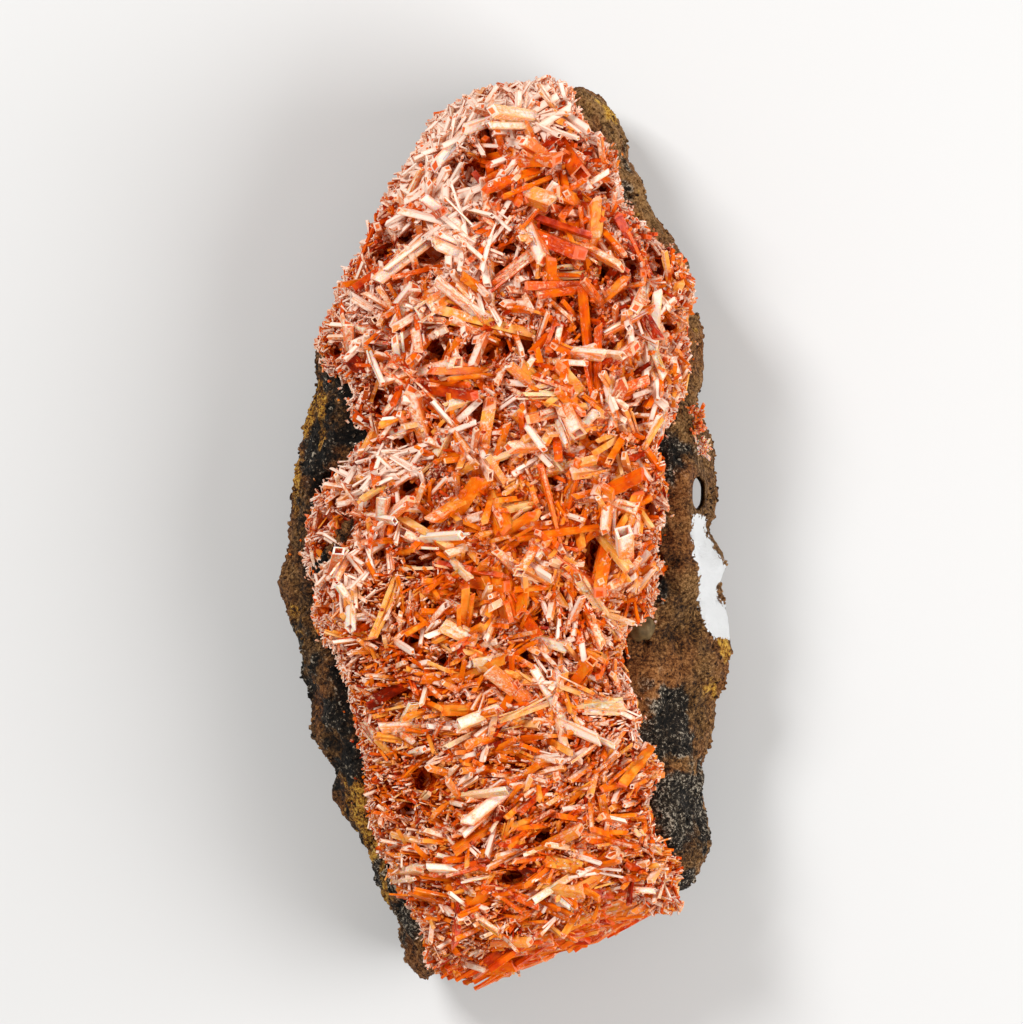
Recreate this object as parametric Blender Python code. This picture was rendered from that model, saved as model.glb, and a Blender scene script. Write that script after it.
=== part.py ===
"""Crocoite specimen: a jackstraw mass of orange crystals in a rough slab of gossan.

The slab lies on its flat back with the crystals facing up. X runs across the slab, Y along it and Z up.
The origin is in the middle of the flat back. Sizes are in millimetres and become metres in make_object.
"""

import math
import random

import bmesh
import bpy
from mathutils import Quaternion, Vector, noise
from mathutils.bvhtree import BVHTree

MM = 0.001
noise.seed_set(4)

# Heights above the flat back.
WIDEST = 17.0  # where the slab is widest
SHELF = 22.0  # the floor that the crystals grow from, and the lip they run off at
WALL_TOP = 41.0  # top of the slab's walls where they are wide
WIDE_WALL = 9.0  # a wall this wide reaches full height
CROWN = 54.0  # top of the mass of crystals, before the single ones that stand on it
MOUND_POWER = 2.8  # a higher number makes the mass flatter on top and steeper at its edge
FOOT_SHARE = 0.8  # size of the flat back compared with the outline

SPINE_X = -2.0  # the line that rings shrink towards
SPINE_END = 66.0

GAP = 0.35  # between the rock and what grows on it
ROCK_ROUGHNESS = 3.0
CRUST_ROUGHNESS = 2.0

# The slab seen from above, clockwise from its top end: a point of the rock's edge, then the point beside it
# where the crystals begin. Where the crystals run off the slab, their edge lies outside the rock's.
STATIONS = (
    ((-1, 96.8), (-1, 98.5)), ((5, 97.8), (5, 99.5)), ((10.8, 98.3), (11, 100)),
    ((16, 99.2), (13.2, 97)), ((21, 96), (14.2, 93)), ((24.5, 91), (16.3, 89.5)),
    ((26.3, 86.5), (20, 86.3)), ((26.5, 82.5), (22.8, 82.3)), ((29, 77.5), (23.3, 77.5)),
    ((31, 72), (25.5, 71.7)), ((34, 66.8), (30.2, 67.3)), ((37.5, 63.2), (33, 63.3)),
    ((40.6, 60), (38.2, 60.5)), ((39.6, 55), (41.2, 55)), ((38.8, 50), (40.7, 50.5)),
    ((42.3, 46), (37.3, 46)), ((42.2, 40), (39, 40)), ((41.8, 34), (38.8, 34.3)),
    ((41, 29.5), (37, 29.5)), ((43.5, 25.3), (35.5, 24.5)), ((44.7, 20.5), (32.2, 20)),
    ((46, 15), (32, 14.8)), ((46.8, 9.5), (34.8, 9.5)), ((45.8, 4.8), (34.3, 4.5)),
    ((44.3, 0.8), (33.3, 0.5)), ((46.3, -3.5), (33, -3.5)), ((48.2, -7.5), (33.7, -8)),
    ((46.6, -12.5), (33.3, -12.5)), ((48.2, -17), (31.5, -17)), ((49, -21.5), (26.5, -21)),
    ((49.8, -27), (25.3, -26.5)), ((48.8, -32), (25.4, -31.5)), ((46.3, -37), (27, -36.7)),
    ((45.6, -41.5), (27.8, -42)), ((44.5, -46.5), (29.2, -46.5)), ((42.6, -51.5), (33.8, -51.5)),
    ((41.8, -57), (31.5, -57)), ((42.6, -62), (31, -61.5)), ((44.9, -68.8), (33, -68)),
    ((43, -74), (38.3, -74)), ((40.3, -79), (36.8, -78.5)), ((35.5, -81.3), (37, -82.8)),
    ((31.8, -82.7), (32.5, -84.3)), ((27.5, -81.6), (28.5, -83.2)), ((24, -86.3), (25.8, -87.5)),
    ((20.7, -88.9), (21.5, -90.5)), ((13, -90.6), (13.5, -92.3)), ((5.8, -91.6), (6.5, -93.2)),
    ((-0.6, -95.4), (0, -97)), ((-8.6, -98.3), (-8.5, -100)), ((-13.6, -96.4), (-14, -98)),
    ((-18.8, -98.8), (-17.3, -95.6)), ((-21.3, -95.5), (-17.8, -92.3)), ((-24, -88), (-18.4, -87)),
    ((-27.8, -81.3), (-20.5, -81.6)), ((-29.2, -75.8), (-25.6, -76)), ((-32.2, -69), (-28.3, -70)),
    ((-35.5, -64), (-30.6, -64)), ((-38.7, -58.5), (-31.4, -58.5)), ((-38.8, -52.5), (-31.6, -52.5)),
    ((-42.5, -47), (-33.2, -47)), ((-43.5, -41), (-34.5, -41)), ((-44.3, -34), (-35.8, -34)),
    ((-46, -27), (-37.4, -27)), ((-47.8, -20), (-43.2, -20.2)), ((-50, -12), (-43, -12)),
    ((-48.6, -5), (-44.2, -4.8)), ((-48.4, 3), (-43.5, 3)), ((-48.3, 10), (-41.3, 10)),
    ((-46.8, 16.5), (-35.8, 16)), ((-45.3, 22), (-30, 21.5)), ((-44, 27), (-34.3, 27)),
    ((-42.6, 33.5), (-34.2, 33)), ((-42.6, 39), (-40.6, 37.6)), ((-40.2, 43), (-41.8, 43.5)),
    ((-38, 48.3), (-39.5, 49)), ((-35.1, 54.7), (-36.5, 55.5)), ((-30.6, 59.8), (-31.8, 60.8)),
    ((-27.7, 67), (-29.2, 67.5)), ((-24.7, 74.3), (-26, 75)), ((-20.3, 81.2), (-21.5, 82)),
    ((-15.8, 88.3), (-17, 89.3)), ((-11.3, 93.7), (-12.3, 95)), ((-6.2, 95.6), (-6.5, 97.2)),
)

# The crystals that catch the eye: the low end and the high end seen from above, and the width.
SHOWY_CRYSTALS = (
    (-3, 76.3, 9.5, 71.5, 4), (2, 65, 13, 76, 2.5), (-3, 54.5, 7, 62, 2.8), (19.5, 56.5, 7, 55.5, 2.2),
    (-2.5, 66.3, -6.5, 70, 2.5), (-14, 69, -19.5, 77.5, 2.8), (15.5, 79.5, 18.5, 87, 2.2),
    (6.5, 78, 9, 84.5, 3), (22, 55, 24.5, 58.5, 3), (18.5, 26, 16, 53, 1.8), (19.3, 26, 19.5, 45, 1.8),
    (20.5, 43, 31.5, 49, 1.8), (7.5, 23.5, 16.5, 23, 2.8), (8.5, 18.3, 14.5, 12, 2),
    (9, 20.5, -5.5, 16, 3), (6.5, 6.7, -1, 5, 2.2), (20, 7, 28, 4, 2.2), (-12, 53, -18.5, 48, 4),
    (-24, 42, -33.5, 44.5, 1.8), (-32, 36, -35.5, 40, 3.2), (-27, 25.5, -22.5, 30.5, 2),
    (-5.5, 30, -13.5, 27.5, 2.2), (-11, 26, -15.5, 17, 2.5), (-8, 17.5, -15, 15.8, 1.8),
    (-20.5, 23, -28, 21, 1.8), (-17, -3, -23, 0, 3), (-7, -23.5, -14, -20, 4), (-2, -18, -4.5, -5, 6),
    (-20, -12, -7, -18, 1.8), (-5, -20, 3, -17.5, 3), (-4.5, -38.5, -15, -38.5, 3.5),
    (-2, -27.5, -8, -28.5, 3), (-28, -45.5, -31.5, -41, 1.8), (18, -12, 5, -2, 3.5),
    (9, -13, 0, -12.5, 2.5), (3, -12.5, 2.5, -18, 2.2), (24, -22, 15, -10, 2), (19, -9, 22, -5, 1.8),
    (14, -33, 18, -28, 2.5), (16, -38, 24.5, -38, 4), (-2.5, -63, -12, -69.5, 2),
    (-9, -82, -4, -76, 3.5), (-4, -71, -14, -73, 3), (0.5, -91.5, 5.5, -88, 2.2),
    (17, -74, 16, -68, 1.8), (17, -75, 23, -70, 2.8), (21.5, -66.5, 15.5, -66, 2),
    (8, -71.5, 16, -73, 3), (21, -62, 20, -57, 2), (24, -78, 32, -78.5, 1.8), (36, -80.5, 17, -79, 1.8),
)

# Smaller crystals fill the space between.
FILL_COUNT = 54
FILL_LENGTH = (6.0, 12.0)
FILL_WIDTH = (1.8, 3.2)
ROOT = 1.6  # how far a crystal reaches down into the mass it grows from
SQUARE_SIDES = 4
HOLLOW_FROM = 2.5  # crystals this wide or wider have a pit in their end

# A slot goes right through the slab beside its right edge.
SLOT_CENTRE = (41.8, 8.6)
SLOT_SIZE = (2.7, 9.0)

# A small smooth nodule sits in the right wall, and a few crystals sit alone on its rim.
NODULE_CENTRE = (29.0, -21.0)
NODULE_SIZE = (5.0, 4.0, 3.0)
RIM_PATCH_CENTRE = (41.2, 23.8)
RIM_PATCH_SIZE = (3.6, 6.4, 3.0)

ORANGE = ("crocoite", (0.75, 0.2, 0.05, 1), 0.25)
BROWN = ("gossan", (0.13, 0.08, 0.045, 1), 0.9)


def spine_point(point):
    """The point of the middle line that a point of the outline is scaled towards."""
    return Vector((SPINE_X, max(-SPINE_END, min(SPINE_END, 0.75 * point.y))))


ROCK_EDGE = [Vector(rock) for rock, crystals in reversed(STATIONS)]
CRYSTAL_EDGE = [Vector(crystals) for rock, crystals in reversed(STATIONS)]
SPINE = [spine_point(rock) for rock in ROCK_EDGE]


def wall_lip(rock, crystals, spine):
    """The inner edge of the wall's top: where the crystals begin, or just inside the rock's own edge."""
    return min(crystals, rock.lerp(spine, 0.06), key=lambda point: (point - spine).length)


WALL_LIP = [wall_lip(*points) for points in zip(ROCK_EDGE, CRYSTAL_EDGE, SPINE)]


def averaged(heights):
    """Each height evened out with its neighbours around the ring."""
    count = len(heights)
    return [(heights[i - 1] + 2 * heights[i] + heights[(i + 1) % count]) / 4 for i in range(count)]


def wall_fullness():
    """How far each part of the wall is from a bare lip (0) to a wide wall (1)."""
    widths = [(rock - lip).length for rock, lip in zip(ROCK_EDGE, WALL_LIP)]
    return [min(1.0, max(0.0, width - 2.0) / WIDE_WALL) for width in widths]


FULLNESS = wall_fullness()
WALL_HEIGHTS = averaged([SHELF + 1 + (WALL_TOP - SHELF - 1) * share**0.5 for share in FULLNESS])


def rough(point, amount):
    """A point moved a little in a direction that varies smoothly from place to place."""
    return point + amount * noise.noise_vector(point / 9.0) + 0.4 * amount * noise.noise_vector(point / 3.7)


def level(value):
    """The same height or roughness all the way around."""
    return [value] * len(STATIONS)


def on_walls(roughness):
    """Roughness that fades where the wall is too narrow to carry it."""
    return [roughness * (0.2 + 0.8 * share) for share in FULLNESS]


def ring(starts, ends, share, heights, roughness=level(0.0)):
    """One closed line of points, each a share of the way from starts to ends."""
    flat = [start.lerp(end, share) for start, end in zip(starts, ends)]
    points = [Vector((point.x, point.y, height)) for point, height in zip(flat, heights)]
    return [rough(point, amount) for point, amount in zip(points, roughness)]


def between(low, highs, share):
    """Heights a share of the way from one height to those of the walls."""
    return [low + (high - low) * share for high in highs]


def add_loft(mesh, rings):
    """A closed body through rings that run anticlockwise about the way they climb, with flat ends."""
    rows = [[mesh.verts.new(point) for point in points] for points in rings]
    for low, high in zip(rows, rows[1:]):
        for i, (a, b) in enumerate(zip(low, high)):
            j = (i + 1) % len(low)
            mesh.faces.new((a, low[j], high[j], b))
    mesh.faces.new(reversed(rows[0]))
    mesh.faces.new(rows[-1])


def new_material(name, colour, roughness):
    material = bpy.data.materials.get(name) or bpy.data.materials.new(name)
    material.use_nodes = True
    shader = material.node_tree.nodes["Principled BSDF"]
    shader.inputs["Base Color"].default_value = colour
    shader.inputs["Roughness"].default_value = roughness
    return material


def make_object(name, mesh, look=None):
    """An object from a mesh in millimetres. Without a look it only shapes others and is left out of renders."""
    bmesh.ops.triangulate(mesh, faces=mesh.faces)
    data = bpy.data.meshes.new(name)
    mesh.to_mesh(data)
    data.transform(((MM, 0, 0, 0), (0, MM, 0, 0), (0, 0, MM, 0), (0, 0, 0, 1)))
    made = bpy.data.objects.new(name, data)
    bpy.context.scene.collection.objects.link(made)
    if look:
        data.materials.append(new_material(*look))
    else:
        made.hide_render = True
        made.display_type = "WIRE"
    return made


def combine(target, other, operation):
    """Joins another object to the target, or cuts it from the target."""
    modifier = target.modifiers.new(f"{operation.lower()}_{other.name}", "BOOLEAN")
    modifier.operation = operation
    modifier.solver = "EXACT"
    modifier.use_self = operation == "UNION"
    modifier.object = other


def rock_mesh():
    """The slab: a flat back, an underside that widens, walls that lean in, and a shelf for the crystals."""
    heights = WALL_HEIGHTS
    mesh = bmesh.new()
    rings = [
        ring(SPINE, ROCK_EDGE, FOOT_SHARE, level(0.0)),
        ring(SPINE, ROCK_EDGE, 0.87, level(2.5), level(1.2)),
        ring(SPINE, ROCK_EDGE, 0.94, level(7.0), level(2.2)),
        ring(SPINE, ROCK_EDGE, 0.98, level(12.0), level(1.8)),
        ring(SPINE, ROCK_EDGE, 1.0, level(WIDEST), level(0.5)),
        ring(ROCK_EDGE, WALL_LIP, 0.08, between(WIDEST, heights, 0.3), on_walls(1.2)),
        ring(ROCK_EDGE, WALL_LIP, 0.22, between(WIDEST, heights, 0.58), on_walls(2.2)),
        ring(ROCK_EDGE, WALL_LIP, 0.45, between(WIDEST, heights, 0.82), on_walls(ROCK_ROUGHNESS)),
        ring(ROCK_EDGE, WALL_LIP, 0.72, between(WIDEST, heights, 0.96), on_walls(ROCK_ROUGHNESS)),
        ring(ROCK_EDGE, WALL_LIP, 1.0, heights, on_walls(1.0)),
        ring(WALL_LIP, SPINE, 0.08, between(SHELF, heights, 0.45)),
        ring(WALL_LIP, SPINE, 0.2, level(SHELF)),
    ]
    add_loft(mesh, rings)
    return mesh


def grown(mesh, amount):
    """A copy with its surface pushed out, used to keep a gap around the rock."""
    copy = mesh.copy()
    copy.normal_update()
    pushed = [vertex.co + vertex.normal * amount for vertex in copy.verts]
    for vertex, place in zip(copy.verts, pushed):
        vertex.co = place
    return copy


def crust_mesh():
    """The mass of crystals under the single ones: a mound that fills the hollow in the slab."""
    heights = WALL_HEIGHTS
    mesh = bmesh.new()
    rings = [
        ring(SPINE, WALL_LIP, 0.88, level(SHELF - 2)),
        ring(SPINE, WALL_LIP, 0.98, between(SHELF, heights, 0.8)),
    ]
    for share in (0.99, 0.95, 0.88, 0.77, 0.62, 0.42, 0.2):
        rise = math.sqrt(1 - share**MOUND_POWER)
        tops = [edge + 2.0 + (CROWN - edge - 2.0) * rise for edge in heights]
        rings.append(ring(SPINE, CRYSTAL_EDGE, share, tops, level(CRUST_ROUGHNESS if share > 0.3 else 0.0)))
    add_loft(mesh, rings)
    return mesh


def add_crystal(mesh, start, end, width, roll, hollow=False):
    """A square prism with a slanting end, or with a pit in its end."""
    along = end - start
    length = along.length
    turn = along.to_track_quat("Z", "Y") @ Quaternion((0, 0, 1), roll)
    slant = 0.0 if hollow else 0.35 * width
    sections = [(0.5, 0.0), (0.5, length)]
    if hollow:
        sections += [(0.3, length), (0.24, length - 0.9 * width)]
    rings = []
    for half, climb in sections:
        radius = half * width * math.sqrt(2)
        lean = slant if climb else 0.0
        corners = []
        for i in range(SQUARE_SIDES):
            angle = 2 * math.pi * i / SQUARE_SIDES
            place = Vector((math.cos(angle) * radius, math.sin(angle) * radius, climb + lean * math.cos(angle)))
            corners.append(start + turn @ place)
        rings.append(corners)
    add_loft(mesh, rings)


def surface_below(tree, x, y):
    """The point of a surface straight below, and its normal. Both are None off its edge."""
    return tree.ray_cast(Vector((x, y, 200)), Vector((0, 0, -1)))[:2]


def add_showy_crystals(mesh, crust):
    """The crystals that catch the eye lie across the mass with one end lifted."""
    dice = random.Random(7)
    for x1, y1, x2, y2, width in SHOWY_CRYSTALS:
        low = surface_below(crust, x1, y1)[0]
        high = surface_below(crust, x2, y2)[0]
        lift = dice.uniform(0.5, 3.0)
        roll = math.pi / 4 + dice.uniform(-0.35, 0.35)
        if low and high:
            start = low - Vector((0, 0, 0.4 * width))
            end = high + Vector((0, 0, 0.3 * width + lift))
            add_crystal(mesh, start, end, width, roll, width >= HOLLOW_FROM)


def random_place(dice, faces):
    """A point on one of the faces, chosen by area."""
    face = dice.choices(faces, [face.calc_area() for face in faces])[0]
    a, b, c = (vertex.co for vertex in face.verts)
    u, v = sorted((dice.random(), dice.random()))
    return a * u + b * (v - u) + c * (1 - v), face.normal.copy()


def add_fill_crystals(mesh, crust_body, crust):
    """Smaller crystals at all angles, each rooted in the mass and kept above it at its tip."""
    dice = random.Random(15)
    faces = [face for face in crust_body.faces if face.normal.z > 0.15]
    placed = 0
    while placed < FILL_COUNT:
        place, normal = random_place(dice, faces)
        swing = dice.uniform(0, 2 * math.pi)
        across = Vector((math.cos(swing), math.sin(swing), 0))
        direction = (across + normal * dice.uniform(0.25, 1.3)).normalized()
        length = dice.uniform(*FILL_LENGTH)
        end = place + direction * length
        below = surface_below(crust, end.x, end.y)[0]
        if below and end.z > below.z + 0.8:
            start = place - direction * ROOT
            add_crystal(mesh, start, end, dice.uniform(*FILL_WIDTH), dice.uniform(0, math.pi))
            placed += 1


def ellipsoid(centre, size, subdivisions=1):
    mesh = bmesh.new()
    bmesh.ops.create_icosphere(mesh, subdivisions=subdivisions, radius=0.5)
    for vertex in mesh.verts:
        vertex.co = centre + Vector([c * s for c, s in zip(vertex.co, size)])
    return mesh


def slot_cutter():
    """An uneven eight-sided bar that stands through the slab."""
    mesh = bmesh.new()
    corners = []
    for i in range(8):
        angle = 2 * math.pi * (i + 0.5) / 8
        reach = 0.5 + 0.05 * math.sin(5 * i)
        x = SLOT_CENTRE[0] + math.cos(angle) * reach * SLOT_SIZE[0]
        y = SLOT_CENTRE[1] + math.sin(angle) * reach * SLOT_SIZE[1]
        corners.append((x, y))
    add_loft(mesh, [[Vector((x, y, height)) for x, y in corners] for height in (-10.0, 70.0)])
    return make_object("slot_cutter", mesh)


def make_matrix():
    """The slab of gossan with its slot and its nodule."""
    mesh = rock_mesh()
    tree = BVHTree.FromBMesh(mesh)
    clearance = make_object("matrix_clearance", grown(mesh, GAP))
    slab = make_object("gossan_matrix", mesh, BROWN)
    x, y = NODULE_CENTRE
    nodule = ellipsoid(surface_below(tree, x, y)[0], NODULE_SIZE)
    combine(slab, make_object("nodule_lump", nodule), "UNION")
    combine(slab, slot_cutter(), "DIFFERENCE")
    return tree, clearance


def make_crystals(clearance):
    """All the crystals that grew together, cut back to leave a gap around the rock."""
    body = crust_mesh()
    bmesh.ops.triangulate(body, faces=body.faces)
    body.normal_update()
    crust = BVHTree.FromBMesh(body)
    singles = bmesh.new()
    add_showy_crystals(singles, crust)
    add_fill_crystals(singles, body, crust)
    target = make_object("crocoite_crystals", body, ORANGE)
    combine(target, make_object("single_crystals", singles), "UNION")
    combine(target, clearance, "DIFFERENCE")


def make_rim_patch(rock, clearance):
    """The few crystals that sit alone on the right rim."""
    x, y = RIM_PATCH_CENTRE
    centre = surface_below(rock, x, y)[0]
    target = make_object("rim_crystals", ellipsoid(centre, RIM_PATCH_SIZE), ORANGE)
    dice = random.Random(3)
    singles = bmesh.new()
    for i in range(6):
        start = centre + Vector((dice.uniform(-0.6, 0.6), (i - 2.5) * 0.8, 0.2))
        end = start + Vector((dice.uniform(-1.2, 1.2), dice.uniform(-1.5, 1.5), dice.uniform(1.6, 2.6)))
        add_crystal(singles, start, end, dice.uniform(0.9, 1.4), dice.uniform(0, math.pi))
    combine(target, make_object("single_rim_crystals", singles), "UNION")
    combine(target, clearance, "DIFFERENCE")


for old in list(bpy.data.objects):
    bpy.data.objects.remove(old)

rock_tree, rock_clearance = make_matrix()
make_crystals(rock_clearance)
make_rim_patch(rock_tree, rock_clearance)
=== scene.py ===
"""Looks for the crocoite specimen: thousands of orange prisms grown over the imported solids, and rough gossan.

Sizes are in millimetres until a mesh is made. Places on the specimen are seen from straight above it.
"""

from typing import NamedTuple

import bmesh
import bpy
import numpy as np
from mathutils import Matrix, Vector, noise
from mathutils.bvhtree import BVHTree


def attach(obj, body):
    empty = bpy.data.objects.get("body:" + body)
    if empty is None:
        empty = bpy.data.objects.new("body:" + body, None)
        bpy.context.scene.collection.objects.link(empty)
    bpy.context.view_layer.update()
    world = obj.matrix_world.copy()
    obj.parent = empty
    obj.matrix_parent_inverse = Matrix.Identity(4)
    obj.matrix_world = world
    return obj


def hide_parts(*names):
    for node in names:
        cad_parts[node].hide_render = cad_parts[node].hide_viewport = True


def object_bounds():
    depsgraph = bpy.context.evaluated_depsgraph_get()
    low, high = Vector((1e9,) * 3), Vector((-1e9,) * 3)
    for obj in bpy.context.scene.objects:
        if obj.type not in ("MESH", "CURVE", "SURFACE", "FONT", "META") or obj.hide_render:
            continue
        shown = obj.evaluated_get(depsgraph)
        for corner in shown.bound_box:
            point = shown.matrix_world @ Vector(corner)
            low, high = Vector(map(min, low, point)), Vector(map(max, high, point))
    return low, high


MM = 0.001
noise.seed_set(4)

# Camera: straight above, far away, with the frame's middle and the width it takes in at the crystals' height.
VIEW_CENTRE = (0.6, 4.4)
VIEW_WIDTH = 226.5
VIEW_PLANE = 30.0
CAMERA_HEIGHT = 1700.0

# The crystals that catch the eye: low end and high end seen from above, width, tone and frost.
# Tone runs from 0, deep red, through 0.5, orange, to 1, straw. Frost runs from 0, clear, to 1, white on the
# side that faces the key light, where it is partly painted highlight, and past that it covers the other faces
# as well.
SHOWY_CRYSTALS = (
    (-3, 76.3, 9.5, 71.5, 4, 0.6, 0.55), (2, 65, 13, 76, 2.5, 0.4, 0.1), (-3, 54.5, 7, 62, 2.8, 0.35, 0.55),
    (19.5, 56.5, 7, 55.5, 2.2, 0.8, 0.6), (10.5, 64.2, 2, 63.8, 1.6, 0.6, 0.95),
    (-11.5, 62, 2, 67, 1.6, 0.5, 0.95), (-2.5, 66.3, -6.5, 70, 2.5, 0.3, 0.7),
    (-14, 69, -19.5, 77.5, 2.8, 0.5, 0.95), (0, 84.5, -3.8, 93, 1.2, 0.5, 0.95),
    (-10.8, 85, -10.8, 91, 1.3, 0.5, 0.9), (-17, 53.5, -25, 62, 1.4, 0.35, 0.8),
    (-3.5, 55, -10, 61, 1.3, 0.4, 0.7), (-31, 58, -35, 55, 1.5, 0.5, 0.1),
    (15.5, 79.5, 18.5, 87, 2.2, 0.3, 0.7), (6.5, 78, 9, 84.5, 3, 0.05, 0.0),
    (22, 55, 24.5, 58.5, 3, 0.05, 0.1), (18.5, 26, 16, 53, 1.8, 0.4, 0.1),
    (19.3, 26, 19.5, 45, 1.8, 0.35, 0.15), (20.5, 45, 21, 53, 1.7, 0.4, 0.3),
    (20.5, 43, 31.5, 49, 1.8, 0.35, 0.75), (14, 33.8, 3.5, 34, 1, 0.9, 0.6),
    (13.5, 32.7, 4, 31, 1, 0.85, 0.6), (17, 25.5, 4, 29.5, 1.5, 0.5, 0.2),
    (7.5, 23.5, 16.5, 23, 2.8, 0.75, 0.5), (12.5, 19, 10, 26, 1.6, 0.6, 0.9),
    (8.5, 18.3, 14.5, 12, 2, 0.85, 0.6), (9, 20.5, -5.5, 16, 3, 0.85, 0.65),
    (6.5, 6.7, -1, 5, 2.2, 0.75, 0.2), (20, 7, 28, 4, 2.2, 0.5, 0.7), (-12, 53, -18.5, 48, 4, 0.45, 0.6),
    (-14, 46, -23, 46.5, 1.5, 0.5, 0.9), (-24, 42, -33.5, 44.5, 1.8, 0.3, 0.5),
    (-32, 36, -35.5, 40, 3.2, 0.1, 0.1), (-27, 25.5, -22.5, 30.5, 2, 0.3, 0.75),
    (-5.5, 30, -13.5, 27.5, 2.2, 0.8, 0.7), (-11, 26, -15.5, 17, 2.5, 0.8, 0.65),
    (-8, 17.5, -15, 15.8, 1.8, 0.5, 0.1), (-20.5, 23, -28, 21, 1.8, 0.3, 0.5),
    (-16, 16, -27, 14.8, 1.3, 0.5, 0.9), (-17, -3, -23, 0, 3, 0.3, 0.5),
    (-7, -23.5, -14, -20, 4, 0.7, 0.75), (-2.5, -18, -5.5, -6, 2.2, 0.52, 0.05),
    (-0.6, -18.5, -3, -7, 2.4, 0.55, 0.1), (0.9, -17.5, -0.8, -6, 2.2, 0.5, 0.0),
    (-4.5, -17, -7.5, -8, 1.8, 0.6, 0.2), (-20, -12, -7, -18, 1.8, 0.4, 0.4),
    (-5, -20, 3, -17.5, 3, 0.4, 0.6), (-4.5, -38.5, -15, -38.5, 3.5, 0.5, 0.0),
    (-2, -27.5, -8, -28.5, 3, 0.9, 0.7), (-28, -45.5, -31.5, -41, 1.8, 0.3, 0.7),
    (-30, -23, -36, -21, 1.5, 0.5, 0.1), (18, -12, 5, -2, 3.5, 0.35, 0.5), (10, -12, 2, -7, 1.2, 0.5, 0.9),
    (9, -13, 0, -12.5, 2.5, 0.5, 0.1), (3, -12.5, 2.5, -18, 2.2, 0.5, 0.0),
    (24, -22, 15, -10, 2, 0.85, 0.6), (19, -9, 22, -5, 1.8, 0.5, 0.1), (14, -33, 18, -28, 2.5, 0.5, 0.1),
    (16, -38, 24.5, -38, 4, 0.85, 0.75), (9, -39, 16, -36.5, 1.5, 0.3, 0.7),
    (-2, -41, 12, -36, 1.2, 0.8, 0.6), (-2.5, -63, -12, -69.5, 2, 0.5, 0.1),
    (-9, -82, -4, -76, 3.5, 0.5, 0.1), (-4, -71, -14, -73, 3, 0.25, 0.35),
    (0.5, -91.5, 5.5, -88, 2.2, 0.3, 0.8), (-1, -92, -7.5, -98, 1.4, 0.3, 0.6),
    (17, -74, 16, -68, 1.8, 0.5, 0.6), (17, -75, 23, -70, 2.8, 0.5, 0.3),
    (21.5, -66.5, 15.5, -66, 2, 0.45, 0.6), (8, -71.5, 16, -73, 3, 0.65, 0.1),
    (21, -62, 20, -57, 2, 0.5, 0.2), (33, -70, 27, -65, 1.4, 0.85, 0.6),
    (24, -78, 32, -78.5, 1.8, 0.3, 0.6), (36, -80.5, 17, -79, 1.8, 0.25, 0.3),
    (5, -18, 10, -12, 0.9, 0.5, 0.1), (9, -18, 10, -12, 0.9, 0.5, 0.1), (12, -18, 10, -12, 0.9, 0.5, 0.2),
    (13.5, 37, 5, 39, 1, 0.9, 0.6), (12, 30, 3, 30, 1, 0.9, 0.5), (19, -61.5, 12, -66, 1, 0.6, 0.9),
    (4, -38, 14, -33, 1.0, 0.7, 0.5), (-6, -44, 8, -39, 1.0, 0.8, 0.6),
)


class Kind(NamedTuple):
    """One kind of smaller crystal, with the ranges of its length, its width and how steeply it stands."""

    total: int
    length: tuple
    width: tuple
    stand: tuple
    hollow: float = 0.0  # the share that are hollow
    members: int = 1  # how many grow side by side
    lift: float = 0.0  # how far above the bed they start
    frost: float = 0.0  # how much they differ from the rest in frost
    tone: float = 0.0  # the same in tone
    margin: float = 0.0  # how far inside the mass they keep
    thinned: float = 0.0  # the share left out towards the low end
    least_frost: float = -9.0  # they grow only where the zones of frost come to more than this


CRYSTAL_KINDS = {
    "large": Kind(400, (8, 15), (1.8, 3.0), (0.05, 0.8), 0.25, 3, lift=0.6, margin=4, thinned=0.7),
    "medium": Kind(2300, (4, 9.5), (0.8, 1.7), (0.05, 1.1), 0.12, 2, lift=0.2, margin=1.5),
    "lath": Kind(3200, (5, 12), (0.8, 1.7), (0.0, 0.45), 0.04, 2, lift=0.9, frost=0.6, tone=0.1, margin=2,
                 least_frost=0.24),
    # The small ones lie lowest; their lower frost and redder, darker tone are painted shade.
    "small": Kind(7500, (2.0, 6.0), (0.35, 0.85), (0.1, 1.3), lift=-1.0, frost=-0.1, tone=-0.16),
    "bits": Kind(18000, (0.6, 2.2), (0.22, 0.6), (0.1, 2.0), lift=0.7, frost=0.4, tone=0.05),
}
HIGHEST = 63.0  # no crystal reaches above this
BEHIND = 0.35  # how much of its length a crystal also reaches back from the place where it grows

# Where frost covers more of the crystals than usual, or less: centre, size and how much.
FROST_ZONES = (
    (-14, 76, 7, 11, 0.6), (-7, 60, 6, 10, 0.45), (0, 91, 13, 7, 0.5), (9, 37, 5, 7, 0.35),
    (26, 48, 9, 20, 0.15), (-24, 15, 7, 5, 0.3), (-31, -4, 10, 20, 0.4), (-30, 44, 9, 16, 0.3),
    (17, -36, 17, 11, 0.26), (14, 55, 9, 19, -0.3), (0, -3, 21, 12, -0.4), (-14, -28, 11, 9, -0.18),
    (-1, -68, 24, 17, -0.26), (24, 74, 6, 14, 0.25),
)

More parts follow.
